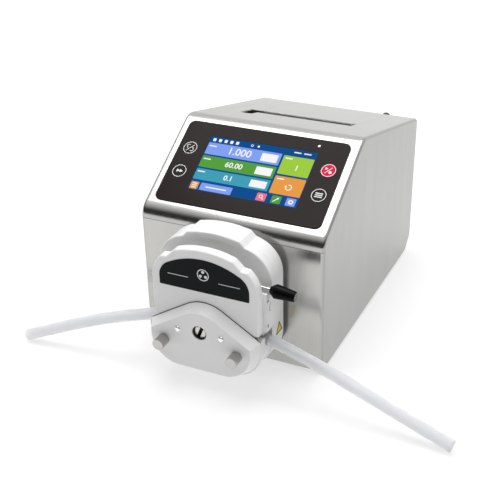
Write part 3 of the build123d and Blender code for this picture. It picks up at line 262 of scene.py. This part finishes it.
def brushed_steel():
    """Sheet steel brushed up its faces, so reflections spread sideways, with painted shade darkening the
    side faces.
    """
    roughness = 0.24
    material, tree, shader = blank("brushed_steel", roughness, {"Metallic": 1.0, "Anisotropic": 0.5})
    source = add_node(tree, "TexCoord")
    place, normal = source.outputs["Object"], source.outputs["Normal"]
    crossing = vector_node(tree, "CROSS_PRODUCT", {0: normal, 1: (1, 0.001, 0)})
    upward = vector_node(tree, "NORMALIZE", {0: crossing})
    sideways = vector_node(tree, "CROSS_PRODUCT", {0: upward, 1: normal})
    climb = vector_node(tree, "DOT_PRODUCT", {0: place, 1: upward}, "Value")

    def drawn_out(keep, size):
        """Noise drawn out up the face, keeping this share of the distance."""
        part = add_node(tree, "Math", {0: climb, 1: 1 - keep}, operation="MULTIPLY").outputs[0]
        shift = vector_node(tree, "SCALE", {0: upward, "Scale": part})
        return noise(tree, vector_node(tree, "SUBTRACT", {0: place, 1: shift}), size)

    lines = drawn_out(0.01, 0.5)
    streaks = drawn_out(0.05, 2.5)
    bands = drawn_out(0.2, 16.0)
    marks = add_node(tree, "Mix", {0: 0.5, 2: lines, 3: streaks}).outputs[0]
    both = add_node(tree, "Mix", {0: 0.5, 2: marks, 3: bands}).outputs[0]
    split = add_node(tree, "SeparateXYZ", {0: normal})
    flank = add_node(tree, "Math", {0: split.outputs["X"]}, operation="ABSOLUTE").outputs[0]
    # painted shade: faces turned towards ±X get their base colour darkened down to 0.74, so the sides read
    # darker than the front and top
    painted_side_shade = add_node(tree, "MapRange", {"Value": flank, "To Min": 1.0, "To Max": 0.74}).outputs[0]
    streaky = varied(tree, both, 1.0, 0.07)
    shade = add_node(tree, "Math", {0: streaky, 1: painted_side_shade}, operation="MULTIPLY").outputs[0]
    tree.links.new(tinted(tree, (0.51, 0.506, 0.49), shade), shader.inputs["Base Color"])
    tree.links.new(varied(tree, marks, roughness, 0.05), shader.inputs["Roughness"])
    tree.links.new(sideways, shader.inputs["Tangent"])
    soft = add_node(tree, "Bevel", {"Radius": SOFT_EDGE * MM}, samples=4).outputs[0]
    bump = add_node(tree, "Bump", {"Height": lines, "Distance": 0.002 * MM, "Normal": soft}).outputs[0]
    tree.links.new(bump, shader.inputs["Normal"])
    return material


def end_face(material, direction, beyond, colour):
    """Give a piece's end face its own colour, beyond this many millimetres along a direction."""
    tree = material.node_tree
    shader = tree.nodes["Principled BSDF"]
    place = add_node(tree, "TexCoord").outputs["Object"]
    reach = vector_node(tree, "DOT_PRODUCT", {0: place, 1: direction}, "Value")
    face = add_node(tree, "Math", {0: reach, 1: beyond * MM}, operation="GREATER_THAN").outputs[0]
    body = shader.inputs["Base Color"].links[0].from_socket
    both = add_node(tree, "Mix", {0: face, 6: body, 7: (*colour, 1)}, data_type="RGBA")
    tree.links.new(both.outputs[2], shader.inputs["Base Color"])
    return material


def shaft_steel():
    """Near-black steel as painted shade for the slot and the hole around the shaft's end, with the end face
    in the bearing plate's hole bright.
    """
    # painted shade: this near-black colour stands in for the shade inside the end's slot and the bearing
    # plate's hole
    material = finish("shaft_steel", (0.03, 0.03, 0.032), 0.35, 0.5, relief=0.004, gloss=METAL)
    return end_face(material, (0, -1, 0), SHAFT_FACE - FRONT, (0.62, 0.6, 0.56))


def knob_plastic():
    """Black plastic of the lever's knob, with a greyer end face as a painted reflection."""
    material = finish("knob_plastic", (0.003, 0.003, 0.003), 0.2, 0.8, relief=0.003, gloss=DULL)
    lever = (cos(LEVER_DROOP), 0, -sin(LEVER_DROOP))
    end = KNOB_END - FACE_SKIN - (FOOT + PIVOT) * sin(LEVER_DROOP)
    # painted reflection: the end face's grey stands in for the light its glossy face reflects
    return end_face(material, lever, end, shown(112, 113, 111))


def milky_silicone():
    """Translucent tube wall, clouded a little unevenly."""
    roughness = 0.36
    material, tree, shader = blank("silicone", roughness, {"Transmission Weight": 0.7, "IOR": 1.25})
    place = add_node(tree, "TexCoord").outputs["Object"]
    cloudy = noise(tree, place, CLOUD, detail=1.0)
    milky = tinted(tree, (0.965, 0.97, 0.985), varied(tree, cloudy, 0.99, 0.01))
    tree.links.new(milky, shader.inputs["Base Color"])
    tree.links.new(varied(tree, cloudy, roughness, 0.03), shader.inputs["Roughness"])
    return material


PIXEL = 0.25                                # pitch of the display's pixels


def lit(name, colour):
    """Lit part of the display, with the faint grid of its pixels."""
    material, tree, shader = blank(name, 0.2, {"Emission Strength": 1.0, "Specular IOR Level": 0.0})
    place = add_node(tree, "TexCoord").outputs["Object"]
    shader.inputs["Base Color"].default_value = (0.002, 0.002, 0.002, 1)
    slow = noise(tree, place, CLOUD, detail=1.0)
    grid = add_node(tree, "TexWave", {"Vector": place, "Scale": pi / (10 * PIXEL * MM)}).outputs["Fac"]
    both = add_node(tree, "Mix", {0: 0.5, 2: grid, 3: slow}).outputs[0]
    glow = tinted(tree, shown(*colour), varied(tree, both, 0.98, 0.04))
    tree.links.new(glow, shader.inputs["Emission Color"])
    return material


MATERIALS = {
    "case_steel": brushed_steel(),
    "plain_steel": finish(
        "turned_steel", (0.5, 0.49, 0.47), 0.2, 0.5, (1, 0.1, 1), relief=0.004, gloss=METAL,
    ),
    "zinc_steel": finish("zinc_steel", (0.56, 0.57, 0.56), 0.38, 2.5, shade=0.1, relief=0.004, gloss=METAL),
    "head_plastic": finish("white_plastic", (0.84, 0.84, 0.835), 0.36, 0.3, shade=0.015, relief=0.003),
    "overlay_black": finish(
        "panel_film", shown(36, 29, 27), 0.22, 0.4, relief=0.002, edge=0.15, gloss=DULL,
    ),
    "screen_glass": finish("screen_glass", (0.01, 0.012, 0.02), 0.12, 5.0, relief=0.001),
    "key_dark": finish("key_film", shown(34, 27, 25), 0.25, 0.4, relief=0.002, gloss=DULL),
    "key_red": finish("red_key_film", shown(216, 8, 66), 0.25, 0.4, relief=0.002, gloss=DULL),
    "label_black": finish("label_film", shown(24, 27, 28), 0.4, 0.3, relief=0.004, edge=0.1, gloss=DULL),
    "marker_yellow": finish("yellow_film", shown(222, 200, 30), 0.35, 0.4, relief=0.003, edge=0.1),
    "black_plastic": finish(
        "glossy_black", (0.004, 0.004, 0.004), 0.15, 0.8, relief=0.003, edge=0.4, gloss=SOFT,
    ),
    "matte_black": finish("matt_black", (0.02, 0.02, 0.021), 0.55, 0.5, relief=0.02),
    "rubber": finish("rubber", (0.018, 0.018, 0.018), 0.75, 0.6, relief=0.03),
    "silicone": milky_silicone(),
    "roller_plastic": finish("ivory_plastic", (0.72, 0.68, 0.56), 0.4, 0.5, relief=0.005),
    "board_green": finish("circuit_board", (0.02, 0.16, 0.06), 0.35, 1.2, shade=0.25, relief=0.03),
    "motor_black": finish("motor_paint", (0.02, 0.02, 0.022), 0.4, 0.5, (1, 0.05, 1), relief=0.02),
    "aluminium": finish("aluminium", (0.72, 0.73, 0.74), 0.35, 1.0, shade=0.06, relief=0.005, gloss=METAL),
    "brass": finish("plated_brass", (0.72, 0.54, 0.24), 0.28, 0.6, relief=0.004, gloss=METAL),
    "lamp": finish("lamp_lens", (0.9, 0.9, 0.9), 0.3, 0.5, relief=0.004),
}
WHITE_INK = finish("white_ink", (0.8, 0.8, 0.8), 0.45, 0.2, shade=0.06, relief=0.003, edge=0.02)
GREY_INK = finish("grey_ink", (0.14, 0.14, 0.15), 0.5, 0.2, shade=0.15, relief=0.003, edge=0.02)
BLACK_INK = finish("black_ink", (0.012, 0.012, 0.012), 0.45, 0.2, relief=0.003, edge=0.02)

for part in frame["record"]["subparts"]:
    data = nodes[part["node"]].data
    data.materials.clear()
    data.materials.append(MATERIALS[part["material_slot"]])
nodes["rotor_shaft"].data.materials[0] = shaft_steel()
nodes["lever_knob"].data.materials[0] = knob_plastic()
polished_steel = finish("polished_steel", (0.86, 0.86, 0.85), 0.14, 0.4, gloss=METAL)
nodes["dowel_pins"].data.materials[0] = polished_steel

# ---------------------------------------------------------------- flat pieces


def arc(x, y, radius, start, end, steps=12):
    """Points along an arc, with its angles in degrees."""
    turns = [radians(start + (end - start) * k / steps) for k in range(steps + 1)]
    return [(x + radius * cos(turn), y + radius * sin(turn)) for turn in turns]


def disc(x, y, radius):
    """Outline of a full circle."""
    return arc(x, y, radius, 0, 360, 40)[:-1]


def rounded(left, low, right, high, radius):
    """Outline of a rectangle with rounded corners."""
    corners = ((right, high, 0), (left, high, 90), (left, low, 180), (right, low, 270))
    outline = []
    for x, y, start in corners:
        inset_x = x - radius if x == right else x + radius
        inset_y = y - radius if y == high else y + radius
        outline += arc(inset_x, inset_y, radius, start, start + 90, 4)
    return outline


def bar(start, end, width):
    """Outline of a straight bar with round ends."""
    run = Vector(end) - Vector(start)
    heading = atan2(run.y, run.x) * 180 / pi
    far = arc(*end, width / 2, heading - 90, heading + 90, 6)
    near = arc(*start, width / 2, heading + 90, heading + 270, 6)
    return far + near


def bent_bar(x, y, radius, start, end, width):
    """Outline of a bar bent along an arc."""
    return arc(x, y, radius + width / 2, start, end) + arc(x, y, radius - width / 2, end, start)


def pointer(x, y, size, heading):
    """Outline of a triangle centred on a point and pointing along a heading in degrees."""
    turns = [radians(heading + a) for a in (0, 125, 235)]
    return [(x + size * cos(turn), y + size * sin(turn)) for turn in turns]


def slab(mesh, outline, place, low, high):
    """Closed slab over an outline, between two heights over a surface."""
    under = [mesh.verts.new(place(x, y, low)) for x, y in outline]
    over = [mesh.verts.new(place(x, y, high)) for x, y in outline]
    faces = [mesh.faces.new(over), mesh.faces.new(under[::-1])]
    for k in range(len(outline)):
        faces.append(mesh.faces.new((under[k - 1], under[k], over[k], over[k - 1])))
    return faces


def ring(mesh, outer, inner, place, low, high):
    """Closed ring between two outlines with as many points, between two heights over a surface."""
    rims = ((outer, low), (outer, high), (inner, high), (inner, low))
    loops = [[mesh.verts.new(place(x, y, out)) for x, y in line] for line, out in rims]
    faces = []
    for a, b in zip(loops, loops[1:] + loops[:1]):
        for k in range(len(a)):
            faces.append(mesh.faces.new((a[k - 1], a[k], b[k], b[k - 1])))
    return faces


def figures(mesh, text, size, x, y, place, low, high):
    """Numerals centred on a point, as closed slabs."""
    data = bpy.data.curves.new("figures", "FONT")
    data.body = text
    data.size = size
    data.offset = 0.9 / size                # makes the strokes bolder, small figures the most
    data.align_x, data.align_y = "CENTER", "CENTER"
    data.extrude = 0.5
    holder = bpy.data.objects.new("figures", data)
    solid = bpy.data.meshes.new_from_object(holder)
    bpy.data.objects.remove(holder)
    points = []
    for vertex in solid.vertices:
        out = low + (vertex.co.z + 0.5) * (high - low)
        points.append(mesh.verts.new(place(x + vertex.co.x, y + vertex.co.y, out)))
    return [mesh.faces.new([points[k] for k in face.vertices]) for face in solid.polygons]


def flat_piece(name, body, place, shapes):
    """Piece made of slabs, rings and numerals, each (material, kind, its own arguments, low, high)."""
    mesh = bmesh.new()
    data = bpy.data.meshes.new(name)
    used = []
    makers = {"slab": slab, "ring": ring, "figures": figures}
    for material, kind, arguments, low, high in shapes:
        if material not in used:
            used.append(material)
            data.materials.append(material)
        for face in makers[kind](mesh, *arguments, place, low, high):
            face.material_index = used.index(material)
    bmesh.ops.recalc_face_normals(mesh, faces=mesh.faces)
    mesh.to_mesh(data)
    mesh.free()
    piece = bpy.data.objects.new(name, data)
    bpy.context.scene.collection.objects.link(piece)
    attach(piece, body)


# ---------------------------------------------------------------- display picture

UI = {
    "navy": lit("display_navy", (14, 78, 144)),
    "blue": lit("display_blue", (132, 162, 244)),
    "green": lit("display_green", (86, 160, 60)),
    "teal": lit("display_teal", (66, 160, 184)),
    "lime": lit("display_lime", (160, 206, 66)),
    "orange": lit("display_orange", (234, 158, 70)),
    "pink": lit("display_pink", (240, 120, 142)),
    "white": lit("display_white", (248, 248, 252)),
    "grey": lit("display_grey", (120, 124, 140)),
}
TILE, MARK = (0.02, 0.06), (0.06, 0.1)      # heights over the screen's face of tiles and of marks on them


def across(u):
    """Place across the screen of a share of its width."""
    return (u - 0.5) * SCREEN_WIDTH


def down(v):
    """Place up the slope of a share of the screen's length, counted from its upper edge."""
    return SCREEN_MIDDLE + (0.5 - v) * SCREEN_LENGTH


def on_screen(x, rise, out):
    """A point over the screen."""
    return on_slant(x, rise, SCREEN_OUT + out)


def tile(colour, u0, v0, u1, v1, layer=TILE, radius=0.7):
    """Rounded tile between shares of the screen's width and length."""
    outline = rounded(across(u0), down(v1), across(u1), down(v0), radius)
    return (UI[colour], "slab", (outline,), *layer)


def mark(colour, outline):
    """Flat mark on a tile."""
    return (UI[colour], "slab", (outline,), *MARK)


def dash(start, end, y, width):
    """White dash along a tile, in place of a word, between shares of the screen's width."""
    return mark("white", bar((across(start), y), (across(end), y), width))


def hoop(x, y, outer, inner):
    """White ring on a tile."""
    return (UI["white"], "ring", (disc(x, y, outer), disc(x, y, inner)), *MARK)


def display_picture():
    """Picture on the display: a header, three rows with a value, two side tiles and a button bar."""
    shapes = [(UI["navy"], "slab", (rounded(across(0), down(1), across(1), down(0), 0.8),), 0.0, TILE[0])]
    rows = (
        ("blue", 0.115, 0.335, "1.000", 9.6),
        ("green", 0.365, 0.58, "60.00", 7.0),
        ("teal", 0.61, 0.81, "0.1", 6.6),
    )
    for colour, top, foot, value, size in rows:
        middle = down((top + foot) / 2)
        shapes.append(tile(colour, 0.005, top, 0.7, foot))
        shapes.append((UI["white"], "figures", (value, size, across(0.32), middle), *MARK))
        shapes.append(tile("white", 0.525, top + 0.04, 0.675, foot - 0.035, MARK, 0.5))
        shapes.append(dash(0.025, 0.085, middle + 2.6, 1.1))
    for colour, top, foot in (("lime", 0.13, 0.47), ("orange", 0.505, 0.82)):
        shapes.append(tile(colour, 0.72, top, 0.995, foot))
        shapes.append(dash(0.745, 0.80, down(top) - 2.6, 1.1))
    shapes.append((UI["white"], "figures", ("1", 7.0, across(0.87), down(0.33)), *MARK))
    turn_x, turn_y = across(0.87), down(0.68)
    shapes.append(mark("white", bent_bar(turn_x, turn_y, 2.4, 110, -170, 0.8)))
    shapes.append(mark("white", pointer(turn_x - 2.5, turn_y + 0.6, 1.3, 80)))
    for u in (0.03, 0.085, 0.14, 0.195, 0.25):
        shapes.append(mark("white", rounded(across(u), down(0.085), across(u + 0.028), down(0.03), 0.5)))
    shapes.append(hoop(across(0.405), down(0.055), 1.2, 0.75))
    shapes.append(mark("white", disc(across(0.465), down(0.055), 1.0)))
    for u in (0.80, 0.89):
        shapes.append(dash(u, u + 0.055, down(0.055), 1.1))
    shapes.append(tile("orange", 0.012, 0.855, 0.085, 0.985))
    for v in (0.885, 0.92, 0.955):
        shapes.append(dash(0.03, 0.067, down(v), 0.8))
    shapes.append(tile("blue", 0.105, 0.855, 0.4, 0.985))
    shapes.append(dash(0.16, 0.345, down(0.92), 1.1))
    for colour, u in (("pink", 0.63), ("green", 0.765), ("blue", 0.895)):
        shapes.append(tile(colour, u, 0.85, u + 0.085, 0.985))
    pink_x, green_x, blue_x, icon_y = across(0.6725), across(0.8075), across(0.9375), down(0.9175)
    shapes.append(hoop(pink_x - 0.4, icon_y + 0.4, 1.7, 1.15))
    shapes.append(mark("white", bar((pink_x + 0.9, icon_y - 0.9), (pink_x + 2.0, icon_y - 2.0), 0.7)))
    shapes.append(mark("white", bar((green_x - 2.0, icon_y - 2.0), (green_x + 0.9, icon_y + 0.9), 0.8)))
    shapes.append(mark("white", pointer(green_x + 1.3, icon_y + 1.3, 1.3, 45)))
    shapes.append(hoop(blue_x, icon_y, 2.1, 1.0))
    flat_piece("display_picture", "drive", on_screen, shapes)


display_picture()

# ---------------------------------------------------------------- key symbols

RING_OUTER, RING_INNER = 6.05, 5.5
STROKE = 0.55


def on_key(x, rise, out):
    """A point over the keys' faces."""
    return on_slant(x, rise, KEY_OUT + out)


def printed(outline):
    """White mark printed on a key."""
    return (WHITE_INK, "slab", (outline,), 0.0, INK)


def printed_ring(x, rise, outer, inner):
    """White ring printed on a key."""
    return (WHITE_INK, "ring", (disc(x, rise, outer), disc(x, rise, inner)), 0.0, INK)


def key_symbols():
    """White ring and symbol of each key: direction, prime, run or stop, and mode."""
    left, right = -KEY_X, KEY_X
    symbols = {
        "direction": [
            printed_ring(left, KEY_UPPER, RING_OUTER, RING_INNER),
            printed(bar((left - 2.6, KEY_UPPER - 3.0), (left + 2.6, KEY_UPPER + 3.0), STROKE)),
            printed(bent_bar(left - 1.9, KEY_UPPER + 1.6, 1.5, 40, 250, STROKE)),
            printed(pointer(left - 2.5, KEY_UPPER, 0.9, -40)),
            printed(bent_bar(left + 1.9, KEY_UPPER - 1.6, 1.5, 220, 430, STROKE)),
            printed(pointer(left + 2.5, KEY_UPPER, 0.9, 140)),
        ],
        "prime": [
            printed_ring(left, KEY_LOWER, RING_OUTER, RING_INNER),
            printed(pointer(left - 1.3, KEY_LOWER, 1.9, 0)),
            printed(pointer(left + 1.6, KEY_LOWER, 1.9, 0)),
        ],
        "run": [
            printed_ring(right, KEY_UPPER, RING_OUTER, RING_INNER),
            printed(bar((right - 2.4, KEY_UPPER - 2.8), (right + 2.4, KEY_UPPER + 2.8), STROKE)),
            printed(pointer(right - 2.1, KEY_UPPER + 1.5, 1.6, 0)),
            printed(disc(right + 1.9, KEY_UPPER - 1.7, 1.3)),
        ],
        "mode": [
            printed_ring(right, KEY_LOWER, RING_OUTER, RING_INNER),
            printed(bar((right - 2.8, KEY_LOWER + 1.7), (right + 2.8, KEY_LOWER + 1.7), 0.9)),
            printed(bar((right - 2.8, KEY_LOWER), (right + 2.8, KEY_LOWER), 0.9)),
            printed(bar((right - 2.8, KEY_LOWER - 1.7), (right + 2.8, KEY_LOWER - 1.7), 0.9)),
        ],
    }
    for name, shapes in symbols.items():
        flat_piece(name + "_symbol", "key_" + name, on_key, shapes)


key_symbols()

# ---------------------------------------------------------------- marks and seals of the head


def label_marks():
    """Two thin lines and a plain sign of three rollers in a ring, printed on the head's label."""
    sign_x, sign_y, sign = 0.0, 95.2, 5.0
    shapes = [
        (WHITE_INK, "slab", (bar((-30.5, 90.6), (-13.0, 90.6), 0.45),), 0.0, INK),
        (WHITE_INK, "slab", (bar((13.0, 90.6), (30.5, 90.6), 0.45),), 0.0, INK),
        (WHITE_INK, "ring", (disc(sign_x, sign_y, sign), disc(sign_x, sign_y, sign - 0.7)), 0.0, INK),
    ]
    for x, y in arc(sign_x, sign_y, sign / 2, 90, 330, 2):
        shapes.append((WHITE_INK, "slab", (disc(x, y, 1.25),), 0.0, INK))
    flat_piece("label_marks", "press_block", on_label, shapes)


def side_marks():
    """Arrows for open and closed on the side of the sliding block, and the border of the marker."""
    arrows = [
        (GREY_INK, "slab", (pointer(-34.2, 78.2, 2.2, 90),), 0.0, INK),
        (GREY_INK, "slab", (pointer(-34.2, 56.0, 1.9, 270),), 0.0, INK),
        (GREY_INK, "slab", (bent_bar(-25.6, 70.4, 5.6, 130, 215, 0.6),), 0.0, INK),
    ]
    flat_piece("side_arrows", "press_block", on_side, arrows)
    border_x, border_y, reach, width = -13.9, 42.0, 6.8, 1.9
    corners = arc(border_x, border_y, reach, 90, 330, 2)
    inner = arc(border_x, border_y, reach - width, 90, 330, 2)
    border = [(BLACK_INK, "ring", (corners, inner), 0.3, 0.3 + INK)]
    flat_piece("marker_border", "drive", on_side, border)


def plate_gap_shade():
    """Black strip of painted shade behind the upper edge of the bearing plate, in the gap where the cover
    slides past it.
    """
    spread = V_DEPTH * tan(V_SPREAD)
    slope = atan2(V_PEAK - V_SHOULDER, V_HALF)
    centre = V_PEAK - V_ROUND / cos(slope)
    steep = slope * 180 / pi

    def edge(grow):
        """Upper edge of the plate, moved outwards."""
        end_x = V_HALF + spread
        end_y = V_PEAK + grow / cos(slope) - end_x * tan(slope)
        crest = arc(0, centre, V_ROUND + grow, 90 - steep, 90 + steep, 16)
        return [(end_x, end_y)] + crest + [(-end_x, end_y)]

    strip = edge(spread + 0.55) + edge(spread - 1.0)[::-1]
    # painted shade: a black strip, in the rubber material, fills the dark gap between plate and cover
    shapes = [(MATERIALS["rubber"], "slab", (strip,), 0.06, 0.36)]
    flat_piece("plate_gap_shade", "drive", on_cover, shapes)


def shaft_hole_shade():
    """Black ring of painted shade around the end of the rotor's shaft, lining the bearing plate's hole."""
    lip, rim = disc(0, AXIS, 5.15), disc(0, AXIS, 6.1)
    # painted shade: a black ring, in the rubber material, covers the hole's wall where shade falls
    shapes = [(MATERIALS["rubber"], "ring", (rim, lip), 5.6, 9.7)]
    flat_piece("shaft_hole_shade", "drive", on_cover, shapes)


label_marks()
side_marks()
plate_gap_shade()
shaft_hole_shade()

# ---------------------------------------------------------------- tube

ROUTES = {
    "tube_right": [(48.5, -31.5, 42.0), (88.0, -35.8, 33.9), (145.0, -42.6, 16.2), (199.4, -48.6, 0.8)],
    "tube_left": [(-48.5, -31.5, 42.0), (-84.0, -37.2, 33.6), (-128.0, -44.4, 18.2), (-170.3, -51.4, 0.8)],
}
SIDES, LIP = 40, 0.25                       # facets around the tube, rounding of its cut edges


def centreline(name, points):
    """Smooth line through the route, as a list of points read from its NURBS spline."""
    data = bpy.data.curves.new(name, "CURVE")
    data.dimensions = "3D"
    data.resolution_u = 24
    spline = data.splines.new("NURBS")
    spline.points.add(len(points) - 1)
    for point, at in zip(spline.points, points):
        point.co = (*at, 1)
    spline.order_u = 3
    spline.use_endpoint_u = True
    holder = bpy.data.objects.new(name, data)
    line = [v.co.copy() for v in bpy.data.meshes.new_from_object(holder).vertices]
    bpy.data.objects.remove(holder)
    return line


def circle_around(mesh, at, tangent, radius):
    """Loop of points around a line."""
    sideways = tangent.cross(Vector((0, 0, 1))).normalized()
    over = sideways.cross(tangent)
    turns = [2 * pi * k / SIDES for k in range(SIDES)]
    return [mesh.verts.new(at + (sideways * cos(turn) + over * sin(turn)) * radius * MM) for turn in turns]


def hollow_tube(name, line):
    """Tube with an open bore along a line, with slightly rounded cut edges."""
    ahead = line[1:] + line[-1:]
    behind = line[:1] + line[:-1]
    tangents = [(a - b).normalized() for a, b in zip(ahead, behind)]
    between = list(zip(line, tangents))[1:-1]
    start, end = (line[0], tangents[0]), (line[-1], tangents[-1])
    lip = LIP * MM
    mesh = bmesh.new()
    loops = [circle_around(mesh, *start, TUBE_RADIUS - LIP)]
    loops.append(circle_around(mesh, start[0] + start[1] * lip, start[1], TUBE_RADIUS))
    loops += [circle_around(mesh, *spot, TUBE_RADIUS) for spot in between]
    loops.append(circle_around(mesh, end[0] - end[1] * lip, end[1], TUBE_RADIUS))
    loops.append(circle_around(mesh, *end, TUBE_RADIUS - LIP))
    loops.append(circle_around(mesh, *end, BORE_RADIUS))
    loops += [circle_around(mesh, *spot, BORE_RADIUS) for spot in between[::-1]]
    loops.append(circle_around(mesh, *start, BORE_RADIUS))
    for a, b in zip(loops, loops[1:] + loops[:1]):
        for k in range(SIDES):
            face = mesh.faces.new((a[k - 1], a[k], b[k], b[k - 1]))
            face.smooth = True
    bmesh.ops.recalc_face_normals(mesh, faces=mesh.faces)
    data = bpy.data.meshes.new(name)
    mesh.to_mesh(data)
    mesh.free()
    data.materials.append(MATERIALS["silicone"])
    piece = bpy.data.objects.new(name, data)
    bpy.context.scene.collection.objects.link(piece)
    return piece


for name, route in ROUTES.items():
    points = [in_frame(*point) for point in route]
    line = centreline(name, points)
    piece = hollow_tube(name + "_free", line)
    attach(piece, "drive")
    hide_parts(name)
